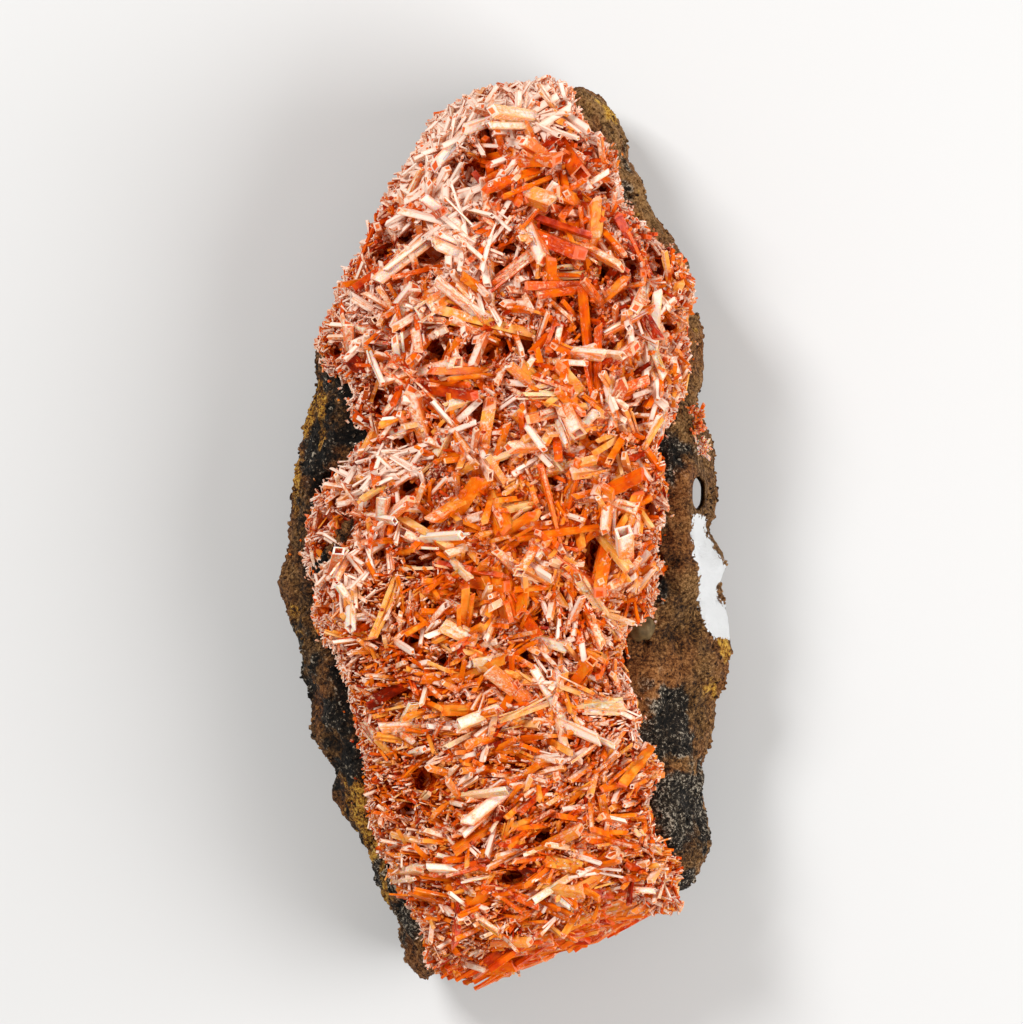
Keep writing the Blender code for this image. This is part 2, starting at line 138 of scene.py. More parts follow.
# Holes in the mass where no crystals bridge: centre and size. Smaller ones are added by chance.
VOIDS = (
    (-8, 78, 3.5, 5), (-12, 80, 3, 2), (-4.5, 87, 3, 4), (-17, 60.5, 6, 3), (-7, 68.5, 2, 2),
    (-19, -5.5, 5, 4), (-28.3, -23.7, 2, 2), (-21, -23.7, 2, 2), (-16.5, -36.3, 2, 2), (18.5, -5, 3, 7),
    (6, -18.5, 2, 4), (26.5, -17.5, 5, 2), (-18.5, -54, 4, 5), (1, -75.5, 5, 2.5), (22.5, -81.5, 3, 2),
    (17, 47, 2, 8), (-39.5, -4.5, 3, 3.5), (-35.5, 1, 2.5, 4.5),
)
SMALL_VOIDS = 60  # most of them at the pale end
SMALL_VOID_SIZE = (1.6, 3.6)

# The low end of the mass slopes down in a rim of long, clean crystals that lie along this line.
LOW_RIM_START, LOW_RIM_END = np.array(((-13.0, -99.5), (29.0, -83.5)))
LOW_RIM_LENGTH = np.linalg.norm(LOW_RIM_END - LOW_RIM_START)
LOW_RIM_ALONG = (LOW_RIM_END - LOW_RIM_START) / LOW_RIM_LENGTH
LOW_RIM_OUTWARD = np.array((LOW_RIM_ALONG[1], -LOW_RIM_ALONG[0]))
LOW_RIM_WIDTH = 7.5
LOW_RIM_DROP = 5.0

GRID = 1.0  # spacing of the height map that crystals are placed with
MAP_MARGIN = 2.0
SMOOTHING = 2  # cells that the height map is opened and blurred over, to find the bed under the larger prisms
EDGE_HEIGHT = 25.0  # the height that the bed slopes down to at its edge
BESIDE_HEIGHT = 26.0  # what counts as the bed's height beside the mass
BED_DEPTH = 2.6  # how far the bed between the crystals lies under the solid's surface
BED_LOWEST = 23.5
BED_FLOOR = 22.9  # the flat underside that closes the bed
VOID_DEPTH = 7.0
BRIDGE_SHARE = 0.06  # how many crystals cross a void all the same
CANOPY = 3.2  # above the surface by this much, crystals get no painted shade
CANOPY_DEPTH = 4.2
SHADE_FROST_LOSS = 0.7  # painted shade: how much less frost, and so less white, crystals show down at the bed
# Painted shade: how much redder and darker crystals are down at the bed.
SHADE_TONE_LOSS = 0.08
RUBY_SHARE = 0.035  # how many crystals are deep red
FROST_FADE = 0.35  # how much the frost changes along a crystal
MOST_FROST = 1.4
TONE_RANGE = (0.05, 1.0)
SIDE_COUNT = 5000
SIDE_LOWEST = 22.5
LOW_RIM_COUNT = 240
CRUMB_COUNT = 6000

SKY = 200.0  # a height above everything, to look down from


def mesh_tree(data):
    """A tree of a mesh, in millimetres."""
    points = [vertex.co / MM for vertex in data.vertices]
    return BVHTree.FromPolygons(points, [tuple(polygon.vertices) for polygon in data.polygons])


def solid_tree(node):
    return mesh_tree(bpy.data.objects[node].data)


def highest_point(tree, x, y):
    """The highest point of a tree over a place, or None where there is nothing."""
    return tree.ray_cast(Vector((x, y, SKY)), Vector((0, 0, -1)))[0]


class HeightMap:
    """Heights of a solid seen from above on a regular grid. Cells with nothing under them are nan."""

    def __init__(self, tree, low, high):
        self.low = np.array(low)
        self.counts = np.ceil((np.array(high) - self.low) / GRID).astype(int) + 1
        self.z = np.full(tuple(self.counts), np.nan)
        for i, j in np.ndindex(*self.counts):
            point = highest_point(tree, *(self.low + np.array((i, j)) * GRID))
            if point is not None:
                self.z[i, j] = point.z


def shifted_stack(grid, reach):
    """The grid moved by every step within a reach, so that a cell can be compared with its neighbours."""
    padded = np.pad(grid, reach, constant_values=np.nan)
    size = 2 * reach + 1
    rows, columns = grid.shape
    return np.array([padded[i:i + rows, j:j + columns] for i in range(size) for j in range(size)])


def opened(grid, reach):
    """The grid with everything narrower than the reach taken off its top."""
    lowest = np.nanmin(shifted_stack(grid, reach), axis=0)
    highest = np.nanmax(shifted_stack(lowest, reach), axis=0)
    return np.where(np.isnan(grid), np.nan, highest)


def blurred(grid, reach):
    return np.where(np.isnan(grid), np.nan, np.nanmean(shifted_stack(grid, reach), axis=0))


def soft_step(value, middle, width):
    """Rises from 0 to 1 around the middle, over about this width. It falls where the width is negative."""
    return 1 / (1 + np.exp((middle - value) / width))


class Bed:
    """The surface that crystals stand on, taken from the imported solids."""

    def __init__(self, box):
        low, high = (np.array(corner[:2]) / MM for corner in box)
        crust, rock = (HeightMap(solid_tree(node), low - MAP_MARGIN, high + MAP_MARGIN)
                       for node in ("crocoite_crystals", "gossan_matrix"))
        crust.z[crust.z < np.nan_to_num(rock.z, nan=-1.0)] = np.nan
        self.map = crust
        self.top = blurred(opened(crust.z, SMOOTHING), SMOOTHING)
        self.inside = ~np.isnan(self.top)
        filled = np.nan_to_num(self.top, nan=EDGE_HEIGHT)
        slope_x, slope_y = (np.nan_to_num(np.gradient(filled, axis=axis) / GRID) for axis in (0, 1))
        normals = np.dstack((-slope_x, -slope_y, np.ones_like(slope_x)))
        self.normals = normals / np.linalg.norm(normals, axis=2, keepdims=True)
        self.near = np.nanmax(shifted_stack(np.where(self.inside, 1.0, 0.0), 1), axis=0) > 0.5
        self.voids = np.concatenate((np.array(VOIDS), self.small_voids(np.random.default_rng(7))))

    def small_voids(self, dice):
        """Centres and sizes of the smaller holes, more of them towards the pale end."""
        places = self.places(dice, 20 * SMALL_VOIDS)[0]
        places = places[self.holds(places, 4) & (zone_frost(places) < 0.3)]
        likely = 0.25 + soft_step(places[:, 1], 12, 8)
        places = places[dice.choice(len(places), SMALL_VOIDS, replace=False, p=likely / likely.sum())]
        return np.column_stack((places[:, :2], dice.uniform(*SMALL_VOID_SIZE, (SMALL_VOIDS, 2))))

    def void_depth(self, points):
        """How far the voids lower the bed at these places."""
        depth = np.zeros(len(points))
        for x, y, size_x, size_y in self.voids:
            reach = ((points[:, 0] - x) / (0.6 * size_x)) ** 2 + ((points[:, 1] - y) / (0.6 * size_y)) ** 2
            depth = np.maximum(depth, VOID_DEPTH * np.exp(-reach))
        return depth

    def bridged(self, starts, ends):
        """Whether crystals between these places would close a void."""
        depths = [self.void_depth(starts + (ends - starts) * share) for share in np.linspace(0, 1, 7)]
        return np.max(depths, axis=0) > 0.42 * VOID_DEPTH

    def places(self, dice, count):
        """Random places on the surface with their normals. Steep parts get as many per area as level ones."""
        cells = np.argwhere(self.inside)
        normals = self.normals[cells[:, 0], cells[:, 1]]
        weights = 1 / np.maximum(normals[:, 2], 0.25)
        chosen = dice.choice(len(cells), count, p=weights / weights.sum())
        flat = self.map.low + (cells[chosen] + dice.uniform(-0.5, 0.5, (count, 2))) * GRID
        return np.column_stack((flat, self.height(flat))), normals[chosen]

    def cells(self, points):
        """The height map's rows and columns that are nearest to these places."""
        cells = np.rint((points[:, :2] - self.map.low) / GRID).astype(int)
        return tuple(np.clip(cells, 0, self.map.counts - 1).T)

    def height(self, points):
        return np.nan_to_num(self.top[self.cells(points)], nan=BESIDE_HEIGHT)

    def holds(self, points, margin=0):
        """Whether these places lie over the mass of crystals, or that far inside it."""
        if margin:
            steps = ((margin, 0, 0), (-margin, 0, 0), (0, margin, 0), (0, -margin, 0))
            return np.all([self.holds(points + step) for step in steps], axis=0)
        return self.near[self.cells(points)]


def unit(vectors):
    return vectors / np.linalg.norm(vectors, axis=1, keepdims=True)


SQUARE = ((0.5, 0.5), (-0.5, 0.5), (-0.5, -0.5), (0.5, -0.5))
SIDE, END, RIM = 0.0, 0.5, 1.0  # kinds of crystal face, for the material
END_SECTION = {"plain": 1, "bevelled": 3, "hollow": 1}  # from this section on, a crystal's end slants
PIT_SECTION = 3  # the bottom of a hollow end


def cross_sections(form, lengths, widths, bevel):
    """Every section of a crystal from its root on: how wide it is against the others, and how far along."""
    root = 0 * lengths
    return {
        "plain": [(0.85, root), (1.0, lengths)],
        "bevelled": [(0.85, root), (1.0, 0.4 * lengths), (0.95, 0.75 * lengths), (0.95, lengths - bevel),
                     (0.7, lengths)],
        "hollow": [(0.9, root), (1.0, lengths), (0.66, lengths), (0.52, lengths - 1.6 * widths)],
    }[form]


class Crystals:
    """Square prisms, collected as arrays with what their colour depends on, then made into one mesh."""

    def __init__(self, dice, bed=None):
        self.dice = dice
        self.bed = bed
        self.points = []
        self.faces = []
        self.looks = []
        self.face_looks = []
        self.count = 0

    def add(self, starts, ends, widths, tones, frosts, form):
        """Adds crystals of one form: "plain", "bevelled" with a slanting end, or "hollow" with a rim."""
        total = len(starts)
        along = unit(ends - starts)
        lengths = np.linalg.norm(ends - starts, axis=1)
        helper = np.where(np.abs(along[:, 2:]) > 0.9, (1.0, 0.0, 0.0), (0.0, 0.0, 1.0))
        side = unit(np.cross(along, helper))
        other = np.cross(along, side)
        roll = self.dice.uniform(0, np.pi / 2, total)[:, None]
        first = np.cos(roll) * side + np.sin(roll) * other
        second = np.cross(along, first)
        aspect = self.dice.uniform(0.65, 1.0, total)
        bevel = 0.5 * widths * self.dice.uniform(0.1, 0.6, total)
        slant = self.dice.uniform(-0.5, 0.5, (2, total))
        jag = self.dice.uniform(-0.2, 0.2, (4, total)) * (0.5 if form == "hollow" else 1.0)
        fade = self.dice.normal(0, FROST_FADE, total)
        steps = cross_sections(form, lengths, widths, bevel)
        top = END_SECTION[form]
        rows = []
        for number, (scale, climb) in enumerate(steps):
            for i, (u, v) in enumerate(SQUARE):
                lean = widths * (slant[0] * u + slant[1] * v + jag[i]) if number >= top else 0 * widths
                uneven = self.dice.uniform(0.93, 1.05, total) if form == "bevelled" else np.ones(total)
                offset = first * (u * scale * uneven * widths)[:, None]
                offset += second * (v * scale * uneven * widths * aspect)[:, None]
                rows.append(starts + offset + along * (climb + lean)[:, None])
                pit = 1.0 if form == "hollow" and number == PIT_SECTION else 0.0
                share = np.clip(climb / lengths, 0, 1)
                # Crystals lose frost and darken with their depth among the others: painted shade.
                deep = self.depth(rows[-1])
                frost = frosts + fade * (share - 0.5) - SHADE_FROST_LOSS * deep
                tone = np.clip(tones - SHADE_TONE_LOSS * deep, *TONE_RANGE)
                self.looks.append(np.column_stack((tone, frost, share, np.full(total, pit))))
        self.points.append(np.concatenate(rows))
        rim = RIM if form == "hollow" else END
        self.add_faces(total, steps, [SIDE] * top + [rim] + [SIDE] * 3, widths, aspect)

    def depth(self, points):
        """How deep these points lie among the crystals: 0 near their tips, 1 down at the bed."""
        if self.bed is None:
            return np.zeros(len(points))
        return np.clip((self.bed.height(points) + CANOPY - points[:, 2]) / CANOPY_DEPTH, 0, 1)

    def add_faces(self, total, steps, kinds, widths, aspect):
        """Side faces and both ends, with each face's own measure across and along it in millimetres."""
        quads, looks = [], []
        none = 0 * widths
        for level in range(len(steps) - 1):
            low, high = steps[level][1], steps[level + 1][1]
            kind = kinds[level]
            for i in range(4):
                j = (i + 1) % 4
                quads.append((4 * level + i, 4 * level + j, 4 * level + 4 + j, 4 * level + 4 + i))
                wide = widths * aspect if i % 2 else widths
                looks.append(face_look(((none, low), (wide, low), (wide, high), (none, high)), wide, kind))
        last = 4 * (len(steps) - 1)
        square = (none, none), (widths, none), (widths, widths), (none, widths)
        for quad in ((3, 2, 1, 0), (last, last + 1, last + 2, last + 3)):
            quads.append(quad)
            looks.append(face_look(square, widths, END))
        # Corner k of crystal n is point k * total + n of this batch.
        pattern = np.array(quads)[None, :, :] * total + np.arange(total)[:, None, None]
        self.faces.append(pattern.reshape(-1, 4) + self.count)
        self.face_looks.append(np.stack(looks, axis=1).reshape(-1, 4))
        self.count += 4 * len(steps) * total

    def make(self, name, material, replaced=()):
        data = bpy.data.meshes.new(name)
        points = np.concatenate(self.points) * MM
        data.from_pydata(points.tolist(), [], np.concatenate(self.faces).tolist())
        for layer, domain, values in (("crystal", "POINT", self.looks), ("face", "CORNER", self.face_looks)):
            made = data.attributes.new(layer, "FLOAT_COLOR", domain)
            made.data.foreach_set("color", np.concatenate(values).astype(np.float32).ravel())
        return place_piece(name, data, material, replaced=replaced)


def face_look(corners, wide, kind):
    """What a crystal face's corners hold: how far across, how far along, the face's width and its kind."""
    columns = [np.column_stack((across, climb, wide, np.full(len(wide), kind))) for across, climb in corners]
    return np.stack(columns, axis=1)


def bundles(dice, starts, ends, widths, tones, frosts, members, main=True):
    """Each crystal as a main one, unless left out, with thinner ones of different length along it."""
    along = ends - starts
    lengths = np.linalg.norm(along, axis=1, keepdims=True)
    groups = []
    for member in range(0 if main else 1, members):
        spread = dice.normal(0, 0.42 if member else 0.05, starts.shape) * widths[:, None]
        tilt = dice.normal(0, 0.06 if member else 0.0, starts.shape) * lengths
        reach = dice.uniform(0.5, 1.05, (len(starts), 1)) if member else 1.0
        share = dice.uniform(0.22, 0.55, len(starts)) if member else dice.uniform(0.8, 1.0, len(starts))
        tone = tones + dice.normal(0, 0.06, len(starts))
        frost = np.clip(frosts + dice.normal(0, 0.12, len(starts)), 0, MOST_FROST)
        groups.append((starts + spread, starts + spread + along * reach + tilt, widths * share, tone, frost))
    return [np.concatenate(columns) for columns in zip(*groups)]


def place_piece(name, data, material, smooth=False, replaced=()):
    """Adds a mesh as a piece, with its material and the solids that it stands in for."""
    data.materials.clear()
    data.materials.append(material)
    if smooth:
        data.shade_smooth()
    made = bpy.data.objects.new(name, data)
    bpy.context.scene.collection.objects.link(made)
    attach(made, "root")
    if replaced:
        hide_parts(*replaced)
    return made


def low_rim_share(points):
    """How far places lie into the sloping rim at the low end: 0 at its inner side, 1 at its edge."""
    offset = points[:, :2] - LOW_RIM_START
    reach = offset @ LOW_RIM_ALONG
    share = (offset @ LOW_RIM_OUTWARD) / LOW_RIM_WIDTH + 1
    return np.where((reach > -3) & (reach < LOW_RIM_LENGTH + 1), np.clip(share, 0, 1.2), 0.0)


def noise_field(points, size):
    """Smooth noise between about -1 and 1 at each place."""
    return np.array([noise.noise(Vector(point) / size) for point in points])


def patch_shares(points, patches):
    """How strongly each soft-edged patch of colour or frost reaches these places."""
    for x, y, size_x, size_y, strength in patches:
        reach = ((points[:, 0] - x) / size_x) ** 2 + ((points[:, 1] - y) / size_y) ** 2
        yield strength * np.exp(-0.7 * reach)


def zone_frost(points):
    """How much more or less likely frost is at these places."""
    return sum(patch_shares(points, FROST_ZONES))


def tone_and_frost(dice, points):
    """Colour and frost of crystals by where they grow: pale at one end, vivid in the middle, tan below."""
    x, y = points[:, 0], points[:, 1]
    upper = soft_step(y - 24 - 0.9 * x, 0, 9)
    lower = soft_step(y, -28, -8)
    total = len(points)
    cluster = noise_field(points, 9.0)
    tone = 0.56 - 0.13 * upper - 0.02 * lower + 0.12 * cluster + dice.normal(0, 0.1, total)
    straw = dice.random(total) < 0.03 + 0.04 * (1 - upper)
    tone = np.where(straw, 0.84 + dice.normal(0, 0.08, total), tone)
    tone = np.where(dice.random(total) < RUBY_SHARE, 0.13, tone)
    zone = zone_frost(points)
    frosty = dice.random(total) < 0.5 + zone + 0.5 * noise_field(points + 50, 8.0)
    frost = np.where(frosty | (tone > 0.75), dice.uniform(0.65, 1.2, total), dice.uniform(-0.05, 0.45, total))
    frost += 0.8 * np.clip(zone - 0.15, 0, 1)
    return np.clip(tone, *TONE_RANGE), frost


def fineness(points):
    """Size of crystals against the usual, by where they grow: finer on the left and towards the low end."""
    left = soft_step(points[:, 0], -22, -4) * soft_step(points[:, 1], 52, -5)
    low = soft_step(points[:, 1], -15, -8)
    return 1.12 - 0.25 * left - 0.2 * low + 0.3 * noise_field(points + 90, 11.0)


def directions(dice, points, normals, stand):
    """Which way crystals point: in crossing sprays at the pale end, mostly across the slab at the other."""
    total = len(points)
    lower = soft_step(points[:, 1], -15, -12)
    spray = noise_field(points * (1, 1, 0.3) + 30, 13.0) * (4.5 - 3.5 * lower)
    scatter = np.where(dice.random(total) < 0.4, 1.6, 0.45) * (1 - 0.55 * lower)
    turn = 0.15 + spray + dice.normal(0, 1, total) * scatter + np.pi * dice.integers(0, 2, total)
    across = np.column_stack((np.cos(turn), np.sin(turn), np.zeros(total)))
    across -= normals * np.sum(across * normals, axis=1, keepdims=True)
    return unit(unit(across) + normals * dice.uniform(*stand, total)[:, None])


def grow_kind(crystals, bed, dice, kind):
    """Scatters one kind of crystal over the bed and keeps those that stay over it."""
    points, normals = bed.places(dice, kind.total)
    sunk = bed.void_depth(points)
    points[:, 2] += kind.lift - sunk
    heading = directions(dice, points, normals, kind.stand)
    fine = fineness(points) * np.where(bed.holds(points, 3), 1.0, 0.75)
    lengths = dice.uniform(*kind.length, len(points)) * fine
    widths = dice.uniform(*kind.width, len(points)) * fine
    ends = points + heading * lengths[:, None]
    starts = points - heading * (BEHIND * lengths)[:, None]
    tones, frosts = tone_and_frost(dice, points)
    # Crystals sunk into voids get less frost and a redder, darker tone: painted shade.
    frosts = np.clip(frosts + kind.frost - 0.08 * sunk, 0, MOST_FROST)
    tones = np.clip(tones + kind.tone - 0.03 * sunk, *TONE_RANGE)
    kept = bed.holds(ends, kind.margin) & (ends[:, 2] < HIGHEST)
    kept &= low_rim_share(points) < 0.25 + 0.4 * dice.random(len(points))
    kept &= zone_frost(points) > kind.least_frost + 0.15 * dice.random(len(points))
    kept &= dice.random(len(points)) > kind.thinned * soft_step(points[:, 1], -10, -8)
    kept &= ~bed.bridged(starts, ends) | (dice.random(len(points)) < BRIDGE_SHARE)
    hollow = dice.random(len(points)) < kind.hollow
    solid_form = "bevelled" if kind.members > 1 else "plain"
    for form, pick in (("hollow", kept & hollow), (solid_form, kept & ~hollow)):
        if pick.any():
            chosen = starts[pick], ends[pick], widths[pick], tones[pick], frosts[pick]
            if form == "bevelled":
                chosen = bundles(dice, *chosen, kind.members)
            crystals.add(*chosen, form)


def add_showy(crystals, bed, dice):
    """The crystals that catch the eye, laid on the solid's own larger prisms."""
    tree = solid_tree("crocoite_crystals")
    for x1, y1, x2, y2, width, tone, frost in SHOWY_CRYSTALS:
        ends = []
        for x, y, lift in ((x1, y1, -0.1 * width), (x2, y2, 0.4)):
            point = highest_point(tree, x, y)
            top = bed.height(np.array([(x, y)]))[0]
            height = max(point.z if point else top, top + 0.5)
            ends.append((x, y, min(height + lift, HIGHEST - 0.4 * width)))
        start, end, widths, *looks = (np.array([value]) for value in (*ends, width, tone, frost))
        crystals.add(start, end, 0.95 * widths, *looks, "hollow" if width >= 1.8 else "bevelled")
        crystals.add(*bundles(dice, start, end, widths, *looks, 4, main=False), "bevelled")


# Patches of colour on the rock: centre, size and how strong.
BLACK_PATCHES = (
    (-37, 28, 7, 12, 0.6), (-43, 14, 4, 14, 0.55), (-42, -5, 3, 8, 0.8), (-40, -18, 3, 12, 0.65),
    (-38, -36, 5, 13, 0.65), (-34, -54, 5, 10, 0.6), (-45, -28, 4, 8, 0.6), (-21, -85, 5, 6, 0.9),
    (-28, -73, 4, 8, 0.8), (35, 17, 4, 8, 0.8), (33, 4, 2, 3, 0.6), (35, -43, 6, 8, 0.8),
    (38, -63, 7, 12, 0.8), (26, 78, 2, 8, 0.3), (40, -78, 4, 6, 0.7), (33, -12, 2, 4, 0.5),
)
OCHRE_PATCHES = (
    (-44.5, 26, 1.4, 8, 0.9), (-47.5, 12, 1.4, 7, 0.9), (-41.5, 24, 1.2, 12, 0.75),
    (-33.5, -60, 2.0, 6, 0.9), (-31, -68, 1.8, 5, 0.9), (48, -25, 1.6, 3, 0.8), (45.5, -35, 2, 3, 0.7),
    (23, 93.5, 2, 3, 0.6), (18, 95, 3, 2, 0.5), (-27, -78, 1.5, 6, 0.6), (-36, -53, 1.5, 4, 0.5),
    (28, 74, 2, 6, 0.35), (41, 44, 2, 6, 0.4), (-47, -22, 1.8, 8, 0.5), (-45, -40, 1.8, 6, 0.4),
    (33, 3, 3, 4, 0.4),
)
PALE_PATCHES = (
    (20, 93, 5, 4, 0.9), (25, 85, 4, 6, 1.0), (29, 74, 3, 8, 0.9), (33, 63, 2.5, 7, 0.6),
    (39, 44, 2, 8, 0.4), (-48, -8, 2, 8, 0.3),
)

# A painted patch on the right edge, left bare. Its outline goes clockwise from its top.
PAINT_OUTLINE = (
    (40.3, 4), (43.3, 3), (43.8, -0.5), (45, -2.5), (47, -5.5), (48.5, -8), (47.5, -11), (46, -13),
    (46.5, -15), (48.5, -17), (50, -19), (50, -24), (45.5, -23.5), (43.5, -21), (42, -17), (41.8, -14),
    (42, -9), (41, -6), (40.3, -2),
)

NODULE_CENTRE = (29.0, -21.0)
NODULE_SIZE = (6.2, 5.8, 4.4)

# Crystals alone on the right rim, in clusters: centre, size, how many and how frosty.
RIM_CLUSTERS = (
    ((41.0, 24.3), (3.6, 6.0), 90, 0.45),
    ((43.0, 18.6), (1.8, 3.0), 40, 0.95),
    ((41.2, 15.6), (1.0, 1.4), 12, 0.9),
)

# A thin crest of rock between the crystals, as a line that grains are piled along.
CREST_LINE = ((-43, -9), (-40, -5), (-37, -1.5), (-34.5, 2))
CREST_STEPS = 26

SLOT_CENTRE = (41.8, 8.6)
SLOT_SIZE = (3.2, 9.6)

ROCK_VOXEL = 0.85
GRAIN_COUNT = 9600
PAINT_LOWEST = 12.0  # the paint lies on the upper side only
TINY = 1e-9  # stands in for 0 where it would be divided by


def patch_weight(points, patches):
    """How strongly patches of colour cover these places."""
    return np.maximum.reduce(list(patch_shares(points, patches)))


def slot_reach(points):
    """How far places are from the middle of the slot. It is 1 at the slot's edge."""
    return np.linalg.norm((points[:, :2] - SLOT_CENTRE) / SLOT_SIZE * 2, axis=1)


def distance_inside(points, outline):
    """Distance of places from an outline, positive inside it."""
    nearest = np.full(len(points), 1e9)
    inside = np.zeros(len(points), bool)
    for (ax, ay), (bx, by) in zip(outline, outline[1:] + outline[:1]):
        edge = np.array((bx - ax, by - ay))
        offset = points[:, :2] - (ax, ay)
        share = np.clip(offset @ edge / (edge @ edge), 0, 1)
        nearest = np.minimum(nearest, np.linalg.norm(offset - share[:, None] * edge, axis=1))
        crosses = (ay > points[:, 1]) != (by > points[:, 1])
        at_x = ax + (points[:, 1] - ay) * (bx - ax) / (by - ay if by != ay else TINY)
        inside ^= crosses & (points[:, 0] < at_x)
    return np.where(inside, nearest, -nearest)


def colour_rock(data, points, tones):
    """Writes the patches of colour that the rock's material reads, and how light each point is."""
    paint = np.clip(0.5 + distance_inside(points, PAINT_OUTLINE) / 6, 0, 1)
    paint = np.where(points[:, 2] > PAINT_LOWEST, paint, 0.0)
    tones = tones + 0.05 * noise_field(points, 2.5)
    tones = tones + 0.2 * patch_weight(points, PALE_PATCHES)
    tones = tones - 0.1 * soft_step(points[:, 0], -30, -2)
    ochre, black = (patch_weight(points, patches) for patches in (OCHRE_PATCHES, BLACK_PATCHES))
    values = np.column_stack((ochre, black, paint, tones))
    layer = data.attributes.new("rock", "FLOAT_COLOR", "POINT")
    layer.data.foreach_set("color", values.astype(np.float32).ravel())


def vertex_vectors(data, name):
    """A vector for each vertex: where it is in metres, "co", or which way it faces, "normal"."""
    flat = np.empty(len(data.vertices) * 3)
    data.vertices.foreach_get(name, flat)
    return flat.reshape(-1, 3)


def mesh_points(data):
    return vertex_vectors(data, "co") / MM


def remeshed(node, name, voxel):
    """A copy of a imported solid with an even, dense mesh."""
    source = bpy.data.objects[node].data.copy()
    copy = bpy.data.objects.new(name + "_source", source)
    bpy.context.scene.collection.objects.link(copy)
    modifier = copy.modifiers.new("even", "REMESH")
    modifier.mode = "VOXEL"
    modifier.voxel_size = voxel * MM
    graph = bpy.context.evaluated_depsgraph_get()
    data = bpy.data.meshes.new_from_object(copy.evaluated_get(graph))
    bpy.data.objects.remove(copy)
    data.name = name
    return data


def crag(point):
    """Relief of the broken rock at a place: lumps, ledges, pits and grain."""
    lumps = noise.noise(point / 9.0)
    ledges = abs(noise.noise(point / 4.0 + Vector((9, 2, 5))))
    pits = noise.noise(point / 1.8 + Vector((1, 7, 3)))
    grain = noise.noise(point / 0.9)
    return 1.6 * lumps - 2.3 * ledges + 0.65 + 0.65 * pits - 1.3 * max(0.0, pits - 0.2) + 0.3 * grain


def make_rock(material):
    """The slab with its broken relief. Its flat back stays flat."""
    data = remeshed("gossan_matrix", "gossan_relief", ROCK_VOXEL)
    points = mesh_points(data)
    painted = np.clip(0.5 + distance_inside(points, PAINT_OUTLINE) / 3, 0, 1) * (points[:, 2] > PAINT_LOWEST)
    fade = np.clip(points[:, 2] / 2.5, 0, 1) * np.clip(slot_reach(points) - 1.1, 0, 1)
    relief = np.array([crag(Vector(point)) for point in points]) * fade * (1 - 0.8 * painted)
    moved = points + vertex_vectors(data, "normal") * relief[:, None]
    moved[:, 2] = np.maximum(moved[:, 2], 0.0)
    data.vertices.foreach_set("co", (moved * MM).ravel())
    # Pits of the relief are painted darker and its ridges lighter: painted shade and light.
    colour_rock(data, moved, 0.5 + 0.1 * np.clip(relief, -2, 1.5))
    return place_piece("gossan_relief", data, material, True, ["gossan_matrix"])


def icosahedron():
    """Corners, to two places, and faces of a lump with twenty sides: two rings and a point past each."""
    rings = []
    for turn, height in ((0, 0.45), (36, -0.45)):
        angles = np.radians(turn + 72 * np.arange(5))
        flat = 0.8944 * np.column_stack((np.cos(angles), np.sin(angles)))
        rings.append(np.column_stack((flat.round(2), np.full(5, height))))
    corners = np.vstack(((0, 0, 1), *rings, (0, 0, -1)))
    steps = [(i, (i + 1) % 5) for i in range(5)]
    faces = [(0, 1 + i, 1 + j) for i, j in steps]
    faces += [(1 + i, 6 + i, 1 + j) for i, j in steps]
    faces += [(1 + j, 6 + i, 6 + j) for i, j in steps]
    faces += [(6 + i, 11, 6 + j) for i, j in steps]
    return corners, np.array(faces)


def grain_mesh(name, dice, places, sizes):
    """Small uneven lumps, one at each place."""
    corners, faces = icosahedron()
    count = len(places)
    stretch = dice.uniform(0.6, 1.25, (count, 1, 3)) * sizes[:, None, None]
    lumps = corners[None] * dice.uniform(0.7, 1.2, (count, len(corners), 1)) * stretch + places[:, None, :]
    faces = (faces[None] + len(corners) * np.arange(count)[:, None, None]).reshape(-1, 3)
    data = bpy.data.meshes.new(name)
    data.from_pydata((lumps.reshape(-1, 3) * MM).tolist(), [], faces.tolist())
    tones = dice.uniform(0.25, 0.85, count)
    colour_rock(data, np.repeat(places, len(corners), axis=0), np.repeat(tones, len(corners)))
    return data


def surface_places(dice, data, count, lowest):
    """Random places on a mesh, by area, above a height."""
    points = mesh_points(data)
    faces = np.array([tuple(polygon.vertices)[:3] for polygon in data.polygons])
    areas = np.array([polygon.area for polygon in data.polygons])
    middle = points[faces].mean(axis=1)
    areas = areas * (middle[:, 2] > lowest) * (distance_inside(middle, PAINT_OUTLINE) < 0.3)
    chosen = dice.choice(len(faces), count, p=areas / areas.sum())
    mix = dice.dirichlet((1, 1, 1), count)
    return np.sum(points[faces[chosen]] * mix[:, :, None], axis=1)


def crest_grains(bed, dice):
    """Places and sizes of the grains that make the thin crest."""
    places, sizes = [], []
    for start, end in zip(CREST_LINE, CREST_LINE[1:]):
        for x, y in np.linspace(start, end, CREST_STEPS):
            for _ in range(3):
                flat = (x, y) + dice.normal(0, 0.35, 2)
                places.append((*flat, bed.height(flat[None])[0] + dice.uniform(-0.5, 1.8)))
                sizes.append(dice.uniform(0.4, 0.9))
    return np.array(places), sizes


def make_grains(rock, bed, material):
    """Loose-looking grains all over the broken rock, and along its crest."""
    dice = np.random.default_rng(5)
    places = surface_places(dice, rock.data, GRAIN_COUNT, 4.0)
    shown = ~bed.holds(places) | (places[:, 2] > bed.height(places) - 3)
    places = places[shown & (slot_reach(places) > 1.15)]
    sizes = 0.22 + 0.6 * dice.random(len(places)) ** 2.5
    crest, crest_sizes = crest_grains(bed, dice)
    places = np.concatenate((places, crest))
    data = grain_mesh("gossan_grains", dice, places, np.concatenate((sizes, crest_sizes)))
    return place_piece("gossan_grains", data, material)


